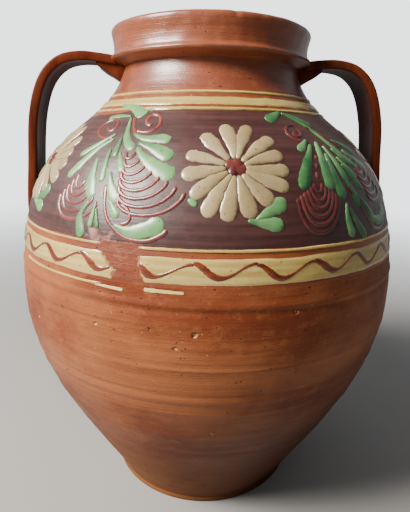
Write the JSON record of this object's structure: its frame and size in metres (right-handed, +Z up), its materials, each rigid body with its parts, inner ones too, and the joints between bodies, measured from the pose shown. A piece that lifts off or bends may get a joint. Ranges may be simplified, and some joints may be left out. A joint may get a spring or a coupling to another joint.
{
  "type": "two-handled storage jar",
  "caption": "Wide-bellied earthenware storage jar with a short neck, collared rim, two strap handles and slip-trailed flowers round the shoulder.",
  "frame": {"origin": "centre of the foot, on the surface the jar stands on", "axes": "+Z up the jar's axis; -Y is the decorated front; the handles are on -X and +X"},
  "size_m": [0.361, 0.361, 0.44],
  "materials": {
    "glazed_earthenware": "clear lead-type glaze over red earthenware, satin low on the body and glossy at the neck",
    "handle_earthenware": "clear glaze over dark red earthenware, glossy, paler on the worn edges",
    "dark_ground_slip": "dark brown brushed slip under clear glaze, glossy",
    "cream_slip": "cream slip under clear glaze, satin",
    "petal_slip": "thick off-white trailed slip under clear glaze",
    "green_slip": "thick copper-green trailed slip under clear glaze",
    "red_slip": "red-brown trailed slip under clear glaze",
    "brown_slip": "brown slip line under clear glaze"
  },
  "bodies": {
    "root": {"lower_body": "glazed_earthenware", "shoulder": "glazed_earthenware", "neck": "glazed_earthenware", "rim_collar": "glazed_earthenware", "handle_left": "handle_earthenware", "handle_right": "handle_earthenware", "handle_wad_left": "handle_earthenware", "handle_wad_right": "handle_earthenware", "dark_ground_slip": "dark_ground_slip", "cream_band_neck": "cream_slip", "cream_wave_band": "cream_slip", "cream_line_under_wave_band": "cream_slip", "cream_line_ground_foot": "cream_slip", "cream_line_ground_top": "cream_slip", "cream_line_neck": "cream_slip", "brown_wave_line": "brown_slip", "daisy_petals_1": "petal_slip", "daisy_petals_2": "petal_slip", "daisy_petals_3": "petal_slip", "daisy_petals_4": "petal_slip", "daisy_petals_5": "petal_slip", "spray_leaves_1": "green_slip", "spray_leaves_2": "green_slip", "spray_leaves_3": "green_slip", "spray_leaves_4": "green_slip", "spray_leaves_5": "green_slip", "daisy_hearts": "red_slip"}
  },
  "joints": []
}
